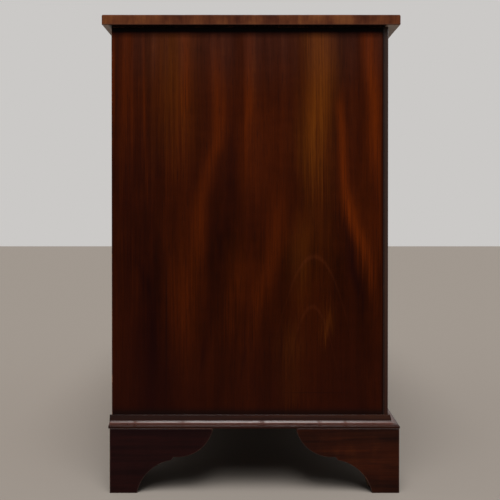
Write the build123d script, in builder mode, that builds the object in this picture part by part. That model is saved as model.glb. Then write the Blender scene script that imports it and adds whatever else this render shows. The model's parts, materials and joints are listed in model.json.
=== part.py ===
from build123d import *
import math
import os

# Mahogany chest of four graduated long drawers on bracket feet, in millimetres.
# +Z is up and the front faces -Y, so left is -X, as seen from the front.
# The origin is on the floor, in the middle of the width and depth that the chest takes up.

# Case
case_width = 860
case_depth = 462
side_thickness = 16
lipping_depth = 7.6
lipping_radius = 3
housing_depth = 6
rail_depth = 60
rail_thickness = 14
bottom_rail_height = 21
bottom_board_thickness = 14
runner_width = 30
dustboard_thickness = 6
dustboard_groove = 5
back_thickness = 10
back_rebate = 8
back_board_count = 4
back_board_gap = 0.6

# Openings for the drawers, graduated
top_opening = 118
second_opening = 138
third_opening = 158
bottom_opening = 175

# Top
top_thickness = 17
top_overhang_front = 18
top_overhang_back = 14
top_overhang_side = 14
top_edge_radius = 2
screw_head_radius = 4.6
screw_head_height = 3
screw_radius = 2.3
screw_length = 26
screw_tip = 4
screw_spacing = 320

# Base moulding, as projection from the case and height above its own underside
moulding_height = 19
moulding_projection = 16.5
moulding_ledge = 3
moulding_ledge_edge = 1.2
moulding_neck = 4.6
moulding_neck_height = 12.2
moulding_cove_depth = 8.4
moulding_cove_height = 7.9
moulding_step = 13.9
moulding_step_height = 5.2
moulding_fascia = 4
moulding_back_overhang = 3

# Bracket feet
foot_height = 107
foot_setback = 0.7
foot_width = 45
bracket_length = 170
bracket_thickness = 19
foot_back_overhang = 1
brace_length = 120
brace_foot = 40
brace_thickness = 16
block_size = 30
block_lift = 3

# Drawers
side_gap = 1
top_gap = 1.5
running_gap = 0.3
front_thickness = 20
bead_thickness = 3
bead_depth = 10
bead_projection = 2
bead_radius = 1.2
lining_thickness = 9
lining_drop = 4
drawer_back_thickness = 8
drawer_back_drop = 6
drawer_back_space = 12
drawer_bottom_thickness = 6
drawer_bottom_lift = 5
bottom_tongue = 5
bottom_groove = 4
tail_length = 9
tail_pitch = 38
tail_flare = 1.6
stop_width = 40
stop_depth = 24
stop_height = 4
stop_spacing = 420

# Locks
lock_width = 56
lock_height = 42
lock_thickness = 9
bolt_width = 22
bolt_thickness = 4.5
bolt_height = 20
bolt_gap = 0.2
bolt_throw = 7
mortise_margin = 0.8
mortise_end_gap = 1.5
keyhole_drop = 28
keyhole_radius = 2.8
keyhole_slot_width = 2.6
keyhole_slot_drop = 9
keyhole_depth = 3
escutcheon_rim = 2.2
escutcheon_depth = 4
escutcheon_projection = 0.4

# Handles
handle_spacing = 468
handle_lift = 8
post_spacing = 76
post_projection = 17
post_head_radius = 5
post_neck_radius = 3
post_collar_radius = 4.4
post_collar_height = 2
post_shank_radius = 2
post_end = 2
rosette_radius = 11
rosette_thickness = 3
rosette_edge = 1
nut_size = 9
nut_thickness = 4
pin_radius = 1.5
pin_length = 6
bail_radius = 2.6
bail_shoulder_gap = 0.4
bail_shoulder = 6.5
bail_drop = 36

# Shared fits
fit_gap = 0.05
shank_gap = 0.25
overrun = 2

# Ogee outline of a bracket, in shares of the length beyond the foot and of the height
cove_middle_share = (0.130, 0.300)
cove_end_share = (0.452, 0.505)
cusp_share = (0.485, 0.556)
ovolo_middle_share = (0.862, 0.700)
ovolo_end_share = (1.000, 0.960)
# Straight brace behind a rear foot
brace_end_share = 0.55

# Places of the bends of a bail, in shares of its shoulder and of its drop
bail_bend_shares = ((1.00, 0.02), (0.92, 0.36), (-1.15, 0.60), (-2.35, 0.93))
bail_bend_share = 0.45

# Narrow part of a dovetail, in its pitch
tail_root_share = 0.52
minimum_tails = 3

# Levels
row_names = ("bottom", "third", "second", "top")
openings = (bottom_opening, third_opening, second_opening, top_opening)
row_floor = foot_height + bottom_rail_height
row_bottoms = [
    row_floor + sum(openings[:row]) + rail_thickness * row for row in range(len(openings))
]
rail_bottoms = [bottom + opening for bottom, opening in zip(row_bottoms, openings)]
top_rail_bottom = rail_bottoms[-1]
case_top = top_rail_bottom + rail_thickness

# Plan, with the origin in the middle of the depth from the handles to the back of the top
handle_reach = max(post_projection + post_head_radius, top_overhang_front, moulding_projection)
front_y = (handle_reach - top_overhang_back - case_depth) / 2
back_y = front_y + case_depth
back_inner_y = back_y - back_thickness
half_width = case_width / 2
inner_x = half_width - side_thickness
housing_x = inner_x + housing_depth
rail_back_y = front_y + rail_depth
lipping_back_y = front_y + lipping_depth
foot_projection = moulding_projection - foot_setback

sides = {"left": -1, "right": 1}
finished = []


# A board between two opposite corners, added to the open part or cut from it
def block(corner, opposite, mode=Mode.ADD):
    middle = [(a + b) / 2 for a, b in zip(corner, opposite)]
    size = [abs(b - a) for a, b in zip(corner, opposite)]
    with Locations(tuple(middle)):
        Box(*size, mode=mode)


# A node of one solid, or of several solids that stay separate
def finish(label, *pieces):
    if len(pieces) == 1:
        node = pieces[0]
    else:
        node = Compound([solid for piece in pieces for solid in piece.solids()])
    node.label = label
    finished.append(node)


# Evenly spaced dovetails, drawn in Y and Z, that widen from root_y to end_y
def dovetails(x_low, x_high, root_y, end_y, z_low, z_high, mode=Mode.ADD):
    count = max(minimum_tails, round((z_high - z_low) / tail_pitch))
    pitch = (z_high - z_low) / count
    root = pitch * tail_root_share / 2
    with BuildSketch(Plane.YZ.offset(x_low)) as tails:
        for tail in range(count):
            z = z_low + pitch * (tail + 1 / 2)
            Polygon(
                (root_y, z - root),
                (end_y, z - root - tail_flare),
                (end_y, z + root + tail_flare),
                (root_y, z + root),
                align=None,
            )
    extrude(tails.sketch, amount=x_high - x_low, mode=mode)


# Keyhole, a round hole over a slot, grown by a rim
def keyhole(rim, start_y, depth, z, mode):
    with BuildSketch(Plane((0, start_y, z), x_dir=(1, 0, 0), z_dir=(0, -1, 0))) as outline:
        Circle(keyhole_radius + rim)
        with Locations((0, -(keyhole_slot_drop + rim) / 2)):
            Rectangle(keyhole_slot_width + 2 * rim, keyhole_slot_drop + rim)
    extrude(outline.sketch, amount=-depth, mode=mode)


# Top board, with its square edge rounded at both arrises, and the pilots of its screws
def screw_shape(x, y, gap, mode):
    level = Plane((x, y, top_rail_bottom), x_dir=(1, 0, 0), z_dir=(0, -1, 0))
    with BuildSketch(level) as outline:
        Polygon(
            (0, -gap),
            (screw_head_radius + gap, -gap),
            (screw_head_radius + gap, 0),
            (screw_radius + gap, screw_head_height),
            (screw_radius + gap, screw_length - screw_tip),
            (0, screw_length + gap),
            align=None,
        )
    revolve(outline.sketch, axis=Axis(level.origin, (0, 0, 1)), mode=mode)


back_rail_front_y = back_inner_y - rail_depth
screw_places = [
    (screw_spacing * column, y)
    for y in ((front_y + rail_back_y) / 2, (back_rail_front_y + back_inner_y) / 2)
    for column in (-1, 0, 1)
]

with BuildPart() as top_board:
    block(
        (-half_width - top_overhang_side, front_y - top_overhang_front, case_top),
        (half_width + top_overhang_side, back_y + top_overhang_back, case_top + top_thickness),
    )
    fillet(top_board.edges(), radius=top_edge_radius)
    for x, y in screw_places:
        screw_shape(x, y, fit_gap, Mode.SUBTRACT)
finish("top_board", top_board.part)

with BuildPart() as top_screws:
    for x, y in screw_places:
        screw_shape(x, y, 0, Mode.ADD)
finish("top_screws", top_screws.part)


# End panels, with housings for the rails and runners and a rebate for the back boards
def end_panel(side):
    with BuildPart() as panel:
        block(
            (side * inner_x, lipping_back_y, foot_height),
            (side * half_width, back_y, case_top),
        )
        for z in rail_bottoms:
            block(
                (side * inner_x, lipping_back_y, z),
                (side * housing_x, back_inner_y, z + rail_thickness),
                Mode.SUBTRACT,
            )
        block(
            (side * inner_x, lipping_back_y, foot_height),
            (side * housing_x, rail_back_y, row_floor),
            Mode.SUBTRACT,
        )
        block(
            (side * inner_x, rail_back_y, foot_height),
            (side * housing_x, back_inner_y, foot_height + bottom_board_thickness),
            Mode.SUBTRACT,
        )
        block(
            (side * inner_x, back_inner_y, foot_height),
            (side * (inner_x + back_rebate), back_y, case_top),
            Mode.SUBTRACT,
        )
    return panel.part


def lipping(side):
    with BuildPart() as strip:
        block((side * inner_x, front_y, foot_height), (side * half_width, lipping_back_y, case_top))
        outer = strip.edges().filter_by(Axis.Z).group_by(Axis.Y)[0].sort_by(Axis.X)
        fillet(outer[0] if side < 0 else outer[-1], radius=lipping_radius)
    return strip.part


for name, side in sides.items():
    finish(f"side_panel_{name}", end_panel(side))
finish("front_lippings", *(lipping(side) for side in sides.values()))


# Where the bolt of a lock stands, under the rail that it shoots into
lock_y = front_y + front_thickness - lock_thickness
bolt_y = lock_y + lock_thickness / 2
mortise_depth = bolt_throw - bolt_gap - top_gap + mortise_end_gap


def bolt_mortise(rail_underside):
    block(
        (-bolt_width / 2 - mortise_margin, bolt_y - bolt_thickness / 2 - mortise_margin, rail_underside),
        (
            bolt_width / 2 + mortise_margin,
            bolt_y + bolt_thickness / 2 + mortise_margin,
            rail_underside + mortise_depth,
        ),
        Mode.SUBTRACT,
    )


# A front rail, flush between the lippings and housed in the end panels behind them
def front_rail(z_low, z_high):
    block((-inner_x, front_y, z_low), (inner_x, rail_back_y, z_high))
    block((-housing_x, lipping_back_y, z_low), (housing_x, rail_back_y, z_high))


dustboard_x = inner_x - runner_width + dustboard_groove
dustboard_rise = (rail_thickness - dustboard_thickness) / 2
dustboard_front_y = rail_back_y - dustboard_groove

for name, z in zip(("lower", "middle", "upper"), rail_bottoms):
    with BuildPart() as drawer_rail:
        front_rail(z, z + rail_thickness)
        block(
            (-dustboard_x, dustboard_front_y, z + dustboard_rise),
            (dustboard_x, rail_back_y, z + dustboard_rise + dustboard_thickness),
            Mode.SUBTRACT,
        )
        bolt_mortise(z)
    finish(f"drawer_rail_{name}", drawer_rail.part)

with BuildPart() as bottom_rail:
    front_rail(foot_height, row_floor)
finish("bottom_rail", bottom_rail.part)

with BuildPart() as bottom_board:
    block(
        (-housing_x, rail_back_y, foot_height),
        (housing_x, back_inner_y, foot_height + bottom_board_thickness),
    )
finish("bottom_board", bottom_board.part)

with BuildPart() as top_rails:
    front_rail(top_rail_bottom, case_top)
    block((-housing_x, back_rail_front_y, top_rail_bottom), (housing_x, back_inner_y, case_top))
    bolt_mortise(top_rail_bottom)
    for x, y in screw_places:
        screw_shape(x, y, fit_gap, Mode.SUBTRACT)
finish("top_rails", top_rails.part)

with BuildPart() as top_kickers:
    for side in sides.values():
        block(
            (side * (inner_x - runner_width), rail_back_y, top_rail_bottom),
            (side * housing_x, back_rail_front_y, case_top),
        )
finish("top_kickers", top_kickers.part)

# Runners carry the drawers' sides, level with the rails, and hold the dustboards' ends
with BuildPart() as drawer_runners:
    for side in sides.values():
        block(
            (side * (inner_x - runner_width), rail_back_y, foot_height + bottom_board_thickness),
            (side * inner_x, back_inner_y, row_floor),
        )
        for z in rail_bottoms[:-1]:
            block(
                (side * (inner_x - runner_width), rail_back_y, z),
                (side * housing_x, back_inner_y, z + rail_thickness),
            )
            block(
                (side * (inner_x - runner_width), rail_back_y, z + dustboard_rise),
                (side * dustboard_x, back_inner_y, z + dustboard_rise + dustboard_thickness),
                Mode.SUBTRACT,
            )
finish("drawer_runners", drawer_runners.part)

with BuildPart() as dustboards:
    for z in rail_bottoms[:-1]:
        block(
            (-dustboard_x, dustboard_front_y, z + dustboard_rise),
            (dustboard_x, back_inner_y, z + dustboard_rise + dustboard_thickness),
        )
finish("dustboards", dustboards.part)

# Stops on the rails, which the backs of the drawer fronts meet
stop_front_y = front_y + front_thickness + running_gap
with BuildPart() as drawer_stops:
    for z in row_bottoms:
        for side in sides.values():
            block(
                (side * (stop_spacing - stop_width) / 2, stop_front_y, z),
                (side * (stop_spacing + stop_width) / 2, stop_front_y + stop_depth, z + stop_height),
            )
finish("drawer_stops", drawer_stops.part)

# Upright back boards, a little shrunk, in the rebates of the end panels
back_width = 2 * (inner_x + back_rebate)
back_board_width = (back_width - back_board_gap * (back_board_count - 1)) / back_board_count
with BuildPart() as back_boards:
    for board in range(back_board_count):
        x = -back_width / 2 + board * (back_board_width + back_board_gap)
        block((x, back_inner_y, foot_height), (x + back_board_width, back_y, case_top))
finish("back_boards", back_boards.part)


# Base moulding, a cove over a small fascia, drawn outwards from the case
def moulding_strip(start, outward, along, length):
    level = Plane(start, x_dir=outward, z_dir=Vector(*outward).cross(Vector(0, 0, 1)))
    with BuildSketch(level) as profile:
        with BuildLine():
            cove = ThreePointArc(
                (moulding_neck, moulding_neck_height),
                (moulding_cove_depth, moulding_cove_height),
                (moulding_step, moulding_step_height),
            )
            Polyline(
                cove @ 1,
                (moulding_step, moulding_fascia),
                (moulding_projection, moulding_fascia),
                (moulding_projection, 0),
                (0, 0),
                (0, moulding_height),
                (moulding_ledge, moulding_height),
                (moulding_ledge, moulding_height - moulding_ledge_edge),
                cove @ 0,
            )
        make_face()
    extrude(profile.sketch, amount=length, dir=along)


def front_corner(side):
    return Vector(side * half_width, front_y, foot_height)


with BuildPart() as base_moulding_front:
    moulding_strip(
        (-half_width - moulding_projection, front_y, foot_height),
        (0, -1, 0),
        (1, 0, 0),
        case_width + 2 * moulding_projection,
    )
    for side in sides.values():
        split(bisect_by=Plane(front_corner(side), z_dir=(-side, -1, 0)), keep=Keep.TOP)
finish("base_moulding_front", base_moulding_front.part)

for name, side in sides.items():
    with BuildPart() as base_moulding:
        moulding_strip(
            (side * half_width, front_y - moulding_projection, foot_height),
            (side, 0, 0),
            (0, 1, 0),
            case_depth + moulding_projection + moulding_back_overhang,
        )
        split(bisect_by=Plane(front_corner(side), z_dir=(side, 1, 0)), keep=Keep.TOP)
    finish(f"base_moulding_{name}", base_moulding.part)


# A bracket of a foot, from its outer lower corner, with a mitre where it turns a corner
def bracket(corner, along, inward, mitred):
    def outline_point(share):
        reach, rise = share
        return (foot_width + reach * (bracket_length - foot_width), rise * foot_height)

    with BuildPart() as board:
        with BuildSketch(Plane(corner, x_dir=along, z_dir=Vector(*along).cross(Vector(0, 0, 1)))):
            with BuildLine():
                cove = ThreePointArc(
                    (foot_width, 0), outline_point(cove_middle_share), outline_point(cove_end_share)
                )
                ovolo = ThreePointArc(
                    outline_point(cusp_share),
                    outline_point(ovolo_middle_share),
                    outline_point(ovolo_end_share),
                )
                Line(cove @ 1, ovolo @ 0)
                Polyline(
                    ovolo @ 1, (bracket_length, foot_height), (0, foot_height), (0, 0), cove @ 0
                )
            make_face()
        extrude(amount=bracket_thickness, dir=inward)
        if mitred:
            split(bisect_by=Plane(corner, z_dir=Vector(*along) - Vector(*inward)), keep=Keep.TOP)
    return board.part


foot_x = half_width + foot_projection
foot_front_y = front_y - foot_projection
foot_back_y = back_y + foot_back_overhang

for name, side in sides.items():
    corner = (side * foot_x, foot_front_y, 0)
    finish(
        f"front_foot_{name}",
        bracket(corner, (-side, 0, 0), (0, 1, 0), True),
        bracket(corner, (0, 1, 0), (-side, 0, 0), True),
    )

for name, side in sides.items():
    corner = (side * foot_x, foot_back_y, 0)
    brace_x = foot_x - bracket_thickness
    with BuildPart() as brace:
        with BuildSketch(Plane.XZ.offset(-foot_back_y)):
            Polygon(
                (side * brace_x, 0),
                (side * (brace_x - brace_foot), 0),
                (side * (brace_x - brace_length), brace_end_share * foot_height),
                (side * (brace_x - brace_length), foot_height),
                (side * brace_x, foot_height),
                align=None,
            )
        extrude(amount=brace_thickness)
    finish(
        f"rear_foot_{name}",
        bracket(corner, (0, -1, 0), (-side, 0, 0), False),
        brace.part,
    )

# Blocks glued in the corners behind the feet, just clear of the floor
block_x = foot_x - bracket_thickness
with BuildPart() as foot_blocks:
    for side in sides.values():
        for y, inward in (
            (foot_front_y + bracket_thickness, 1),
            (foot_back_y - brace_thickness, -1),
        ):
            block(
                (side * block_x, y, block_lift),
                (side * (block_x - block_size), y + inward * block_size, foot_height),
            )
finish("foot_blocks", foot_blocks.part)

# Places that all drawers share
drawer_x = inner_x - side_gap
lining_inner_x = drawer_x - lining_thickness
drawer_inner_y = front_y + front_thickness
drawer_back_y = back_inner_y - drawer_back_space
handle_y = front_y - post_projection
post_x = [
    side * handle_spacing / 2 + end * post_spacing / 2
    for side in sides.values()
    for end in sides.values()
]


def drawer_front(z_low, z_high, handle_z):
    with BuildPart() as front:
        block(
            (-drawer_x + bead_thickness, front_y, z_low + bead_thickness),
            (drawer_x - bead_thickness, front_y + bead_depth, z_high - bead_thickness),
        )
        block((-drawer_x, front_y + bead_depth, z_low), (drawer_x, drawer_inner_y, z_high))
        groove_z = z_low + drawer_bottom_lift
        block(
            (-lining_inner_x, drawer_inner_y - bottom_tongue, groove_z),
            (lining_inner_x, drawer_inner_y, groove_z + drawer_bottom_thickness),
            Mode.SUBTRACT,
        )
        for side in sides.values():
            ends = sorted((side * lining_inner_x, side * drawer_x))
            dovetails(
                *ends,
                drawer_inner_y,
                drawer_inner_y - tail_length,
                z_low,
                z_high - lining_drop,
                Mode.SUBTRACT,
            )
        block(
            (-lock_width / 2, lock_y, z_high - lock_height),
            (lock_width / 2, drawer_inner_y, z_high),
            Mode.SUBTRACT,
        )
        keyhole(0, front_y, lock_y - front_y, z_high - keyhole_drop, Mode.SUBTRACT)
        keyhole(
            escutcheon_rim + fit_gap,
            front_y,
            escutcheon_depth,
            z_high - keyhole_drop,
            Mode.SUBTRACT,
        )
        with Locations(Plane.XZ.offset(-front_y)):
            with Locations(*((x, handle_z) for x in post_x)):
                Hole(radius=post_shank_radius + shank_gap, depth=front_thickness)
    return front.part


# Cockbead, four strips mitred at the corners, with a rounded nose that stands proud
def cockbead(z_low, z_high):
    outer = [(-drawer_x, z_low), (drawer_x, z_low), (drawer_x, z_high), (-drawer_x, z_high)]
    inner = [
        (x - math.copysign(bead_thickness, x), z + turn * bead_thickness)
        for (x, z), turn in zip(outer, (1, 1, -1, -1))
    ]
    strips = []
    for start in range(len(outer)):
        end = (start + 1) % len(outer)
        with BuildPart() as strip:
            with BuildSketch(Plane.XZ.offset(bead_projection - front_y)):
                Polygon(outer[start], outer[end], inner[end], inner[start], align=None)
            extrude(amount=-bead_projection - bead_depth)
            lengthwise = Axis.X if start % 2 == 0 else Axis.Z
            nose = strip.edges().filter_by(lengthwise).group_by(Axis.Y)[0]
            fillet(nose, radius=bead_radius)
        strips.append(strip.part)
    return strips


# Drawer side, from the back of the front to the back of the drawer's own back
def lining_side(side, z_low, z_high, back_low, back_high):
    back_front_y = drawer_back_y - drawer_back_thickness
    groove_z = z_low + drawer_bottom_lift
    ends = sorted((side * lining_inner_x, side * drawer_x))
    with BuildPart() as lining:
        block(
            (side * lining_inner_x, drawer_inner_y, z_low),
            (side * drawer_x, drawer_back_y, z_high),
        )
        block(
            (side * lining_inner_x, drawer_inner_y, groove_z),
            (
                side * (lining_inner_x + bottom_groove),
                drawer_back_y,
                groove_z + drawer_bottom_thickness,
            ),
            Mode.SUBTRACT,
        )
        block(
            (side * lining_inner_x, back_front_y, back_low),
            (side * drawer_x, drawer_back_y, back_high),
            Mode.SUBTRACT,
        )
        dovetails(*ends, back_front_y, drawer_back_y, back_low, back_high)
        dovetails(*ends, drawer_inner_y, drawer_inner_y - tail_length, z_low, z_high)
    return lining.part


def lining_back(back_low, back_high):
    back_front_y = drawer_back_y - drawer_back_thickness
    with BuildPart() as back:
        block((-drawer_x, back_front_y, back_low), (drawer_x, drawer_back_y, back_high))
        for side in sides.values():
            ends = sorted((side * lining_inner_x, side * drawer_x))
            dovetails(*ends, back_front_y, drawer_back_y, back_low, back_high, Mode.SUBTRACT)
    return back.part


def drawer_bottom(z_low):
    groove_z = z_low + drawer_bottom_lift
    groove_x = lining_inner_x + bottom_groove
    with BuildPart() as board:
        block(
            (-groove_x, drawer_inner_y, groove_z),
            (groove_x, drawer_back_y, groove_z + drawer_bottom_thickness),
        )
        block(
            (-lining_inner_x, drawer_inner_y - bottom_tongue, groove_z),
            (lining_inner_x, drawer_inner_y, groove_z + drawer_bottom_thickness),
        )
    return board.part


# Lock case let in flush behind the front, open at the top for its bolt
def lock_case(z_high):
    well_x = bolt_width / 2 + bolt_gap
    well_y = bolt_thickness / 2 + bolt_gap
    with BuildPart() as case:
        block(
            (-lock_width / 2, lock_y, z_high - lock_height),
            (lock_width / 2, lock_y + lock_thickness, z_high),
        )
        block(
            (-well_x, bolt_y - well_y, z_high - bolt_height - 2 * bolt_gap),
            (well_x, bolt_y + well_y, z_high),
            Mode.SUBTRACT,
        )
        keyhole(0, lock_y, keyhole_depth, z_high - keyhole_drop, Mode.SUBTRACT)
    return case.part


def escutcheon(z_high):
    depth = escutcheon_projection + escutcheon_depth
    with BuildPart() as plate:
        keyhole(
            escutcheon_rim, front_y - escutcheon_projection, depth, z_high - keyhole_drop, Mode.ADD
        )
        keyhole(
            0, front_y - escutcheon_projection, depth, z_high - keyhole_drop, Mode.SUBTRACT
        )
    return plate.part


def lock_bolt(z_high):
    with BuildPart() as bolt:
        block(
            (-bolt_width / 2, bolt_y - bolt_thickness / 2, z_high - bolt_gap - bolt_height),
            (bolt_width / 2, bolt_y + bolt_thickness / 2, z_high - bolt_gap),
        )
    return bolt.part


# Plane with its Y out of the drawer front, for what is turned about a post's axis
def post_plane(x, z):
    return Plane((x, front_y, z), x_dir=(1, 0, 0), z_dir=(0, 0, -1))


# Post with a ball head, bored for a bail's pin, and a shank through the front
def handle_post(x, z):
    level = post_plane(x, z)
    shank_end = -front_thickness - nut_thickness - post_end
    collar_top = rosette_thickness + post_collar_height
    head_start = post_projection - math.sqrt(post_head_radius**2 - post_neck_radius**2)
    with BuildPart() as post:
        with BuildSketch(level):
            with BuildLine():
                head = ThreePointArc(
                    (post_neck_radius, head_start),
                    (post_head_radius, post_projection),
                    (0, post_projection + post_head_radius),
                )
                Polyline(
                    head @ 1,
                    (0, shank_end),
                    (post_shank_radius, shank_end),
                    (post_shank_radius, rosette_thickness),
                    (post_collar_radius, rosette_thickness),
                    (post_collar_radius, collar_top),
                    (post_neck_radius, collar_top),
                    head @ 0,
                )
            make_face()
        revolve(axis=Axis(level.origin, (0, -1, 0)))
        with Locations(Location((x, front_y - post_projection, z), (0, 90, 0))):
            Cylinder(pin_radius + fit_gap, 2 * post_head_radius + overrun, mode=Mode.SUBTRACT)
    return post.part


def rosette(x, z):
    level = post_plane(x, z)
    hole = post_shank_radius + fit_gap
    with BuildPart() as plate:
        with BuildSketch(level):
            with BuildLine():
                dome = ThreePointArc(
                    (rosette_radius, rosette_edge),
                    ((rosette_radius + post_collar_radius) / 2, (rosette_edge + 2 * rosette_thickness) / 3),
                    (post_collar_radius, rosette_thickness),
                )
                Polyline(
                    dome @ 1, (hole, rosette_thickness), (hole, 0), (rosette_radius, 0), dome @ 0
                )
            make_face()
        revolve(axis=Axis(level.origin, (0, -1, 0)))
    return plate.part


def post_nut(x, z):
    with BuildPart() as nut:
        with BuildSketch(Plane((x, drawer_inner_y, z), x_dir=(1, 0, 0), z_dir=(0, -1, 0))):
            Rectangle(nut_size, nut_size)
            Circle(post_shank_radius + fit_gap, mode=Mode.SUBTRACT)
        extrude(amount=-nut_thickness)
    return nut.part


# Radius at each bend of a bail, as large as the runs beside it allow
def bend_radii(points):
    radii = []
    for before, bend, after in zip(points, points[1:], points[2:]):
        arriving = Vector(*bend) - Vector(*before)
        leaving = Vector(*after) - Vector(*bend)
        run = min(arriving.length, leaving.length)
        turn = math.radians(arriving.get_angle(leaving))
        radii.append(bail_bend_share * run / math.tan(turn / 2))
    return radii


# Swan-neck bail that hangs from its pins, which enter the posts from outside
def bail(x, z):
    shoulder_x = post_spacing / 2 + post_head_radius + bail_shoulder_gap
    half = [(shoulder_x, 0)] + [
        (shoulder_x + out * bail_shoulder, -down * bail_drop) for out, down in bail_bend_shares
    ]
    points = half + [(0, -bail_drop)] + [(-out, down) for out, down in reversed(half)]
    with BuildPart() as swan_neck:
        with BuildLine(Plane((x, handle_y, z), x_dir=(1, 0, 0), z_dir=(0, -1, 0))) as path:
            FilletPolyline(*points, radius=bend_radii(points))
        with BuildSketch(Plane(path.line @ 0, z_dir=path.line % 0)):
            Circle(bail_radius)
        sweep(path=path.line)
        for end in sides.values():
            pin_middle = x + end * (shoulder_x - pin_length / 2)
            with Locations(Location((pin_middle, handle_y, z), (0, 90, 0))):
                Cylinder(pin_radius, pin_length)
    return swan_neck.part


for name, bottom, opening in zip(row_names, row_bottoms, openings):
    z_low = bottom + running_gap
    z_high = bottom + opening - top_gap
    handle_z = (z_low + z_high) / 2 + handle_lift
    back_low = z_low + drawer_bottom_lift + drawer_bottom_thickness
    back_high = z_high - lining_drop - drawer_back_drop
    finish(f"{name}_drawer_front", drawer_front(z_low, z_high, handle_z))
    finish(f"{name}_drawer_cockbead", *cockbead(z_low, z_high))
    finish(
        f"{name}_drawer_linings",
        *(
            lining_side(side, z_low, z_high - lining_drop, back_low, back_high)
            for side in sides.values()
        ),
        lining_back(back_low, back_high),
    )
    finish(f"{name}_drawer_bottom", drawer_bottom(z_low))
    finish(f"{name}_drawer_lock", lock_case(z_high), escutcheon(z_high))
    finish(f"{name}_drawer_bolt", lock_bolt(z_high))
    fittings = [make(x, handle_z) for x in post_x for make in (handle_post, rosette, post_nut)]
    finish(f"{name}_drawer_handle_fittings", *fittings)
    for end, side in sides.items():
        finish(f"{name}_drawer_bail_{end}", bail(side * handle_spacing / 2, handle_z))

os.makedirs("parts", exist_ok=True)
for node in finished:
    export_step(node, f"parts/{node.label}.step")
print(len(finished), "nodes, height", case_top + top_thickness)
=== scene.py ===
import json
import math

import bmesh
import bpy
import numpy as np
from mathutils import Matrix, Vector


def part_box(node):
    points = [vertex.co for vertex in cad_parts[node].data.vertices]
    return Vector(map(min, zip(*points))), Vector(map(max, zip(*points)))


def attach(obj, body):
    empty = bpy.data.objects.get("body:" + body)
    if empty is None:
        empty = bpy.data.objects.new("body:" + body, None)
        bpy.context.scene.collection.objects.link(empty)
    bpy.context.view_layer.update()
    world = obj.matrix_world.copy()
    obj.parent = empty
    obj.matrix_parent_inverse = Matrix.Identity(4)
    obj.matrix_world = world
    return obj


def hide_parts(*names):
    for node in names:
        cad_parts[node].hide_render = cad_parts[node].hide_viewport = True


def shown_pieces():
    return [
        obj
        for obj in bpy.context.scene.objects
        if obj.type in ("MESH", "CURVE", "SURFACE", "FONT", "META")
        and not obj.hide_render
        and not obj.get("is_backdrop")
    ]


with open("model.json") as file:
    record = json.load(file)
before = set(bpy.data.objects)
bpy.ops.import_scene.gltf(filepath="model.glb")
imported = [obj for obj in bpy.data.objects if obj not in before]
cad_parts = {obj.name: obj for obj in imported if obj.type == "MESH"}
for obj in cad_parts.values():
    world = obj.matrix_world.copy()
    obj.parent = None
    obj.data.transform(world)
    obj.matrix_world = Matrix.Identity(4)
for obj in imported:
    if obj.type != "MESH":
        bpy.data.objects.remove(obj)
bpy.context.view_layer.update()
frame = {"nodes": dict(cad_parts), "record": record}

nodes = frame["nodes"]
record = frame["record"]
bodyOf = {
    node: body for body, members in record["behaviour"]["bodies"].items() for node in members
}
print("Frame loaded with", len(nodes), "nodes")


def added(name, data):
    # A new object in the scene
    item = bpy.data.objects.new(name, data)
    bpy.context.scene.collection.objects.link(item)
    return item


# Shader nodes


def tone(red, green, blue):
    # A colour as seen on a screen, 0 to 255, made linear for a shader socket
    parts = np.array([red, green, blue]) / 255.0
    linear = np.where(parts <= 0.04045, parts / 12.92, ((parts + 0.055) / 1.055) ** 2.4)
    return (*[float(v) for v in linear], 1.0)


class Graph:
    # Nodes of a material or world; a value that is given as a number goes into the socket itself

    def __init__(self, owner):
        owner.use_nodes = True
        self.tree = owner.node_tree
        self.tree.nodes.clear()

    def put(self, kind):
        return self.tree.nodes.new("ShaderNode" + kind)

    def feed(self, socket, value):
        if isinstance(value, bpy.types.NodeSocket):
            self.tree.links.new(value, socket)
        else:
            socket.default_value = value

    def fill(self, node, values):
        # Feeds the sockets of a node by name
        for name, value in values.items():
            self.feed(node.inputs[name], value)

    def made(self, kind, *values, **settings):
        # The first output of a new node whose sockets are fed in their order
        node = self.put(kind)
        for name, setting in settings.items():
            setattr(node, name, setting)
        for socket, value in zip(node.inputs, values):
            self.feed(socket, value)
        return node.outputs[0]

    def reckon(self, kind, *values):
        return self.made("Math", *values, operation=kind)

    def times(self, first, second):
        return self.reckon("MULTIPLY", first, second)

    def plus(self, first, second):
        return self.reckon("ADD", first, second)

    def minus(self, first, second):
        return self.reckon("SUBTRACT", first, second)

    def timesPlus(self, first, second, third):
        return self.reckon("MULTIPLY_ADD", first, second, third)

    def join(self, *places):
        return self.made("CombineXYZ", *places)

    def span(self, value, low, high, start=0.0, end=1.0, smooth=False):
        return self.made(
            "MapRange",
            *(value, low, high, start, end),
            interpolation_type="SMOOTHSTEP" if smooth else "LINEAR",
            clamp=True,
        )


# Camera and room

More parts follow.
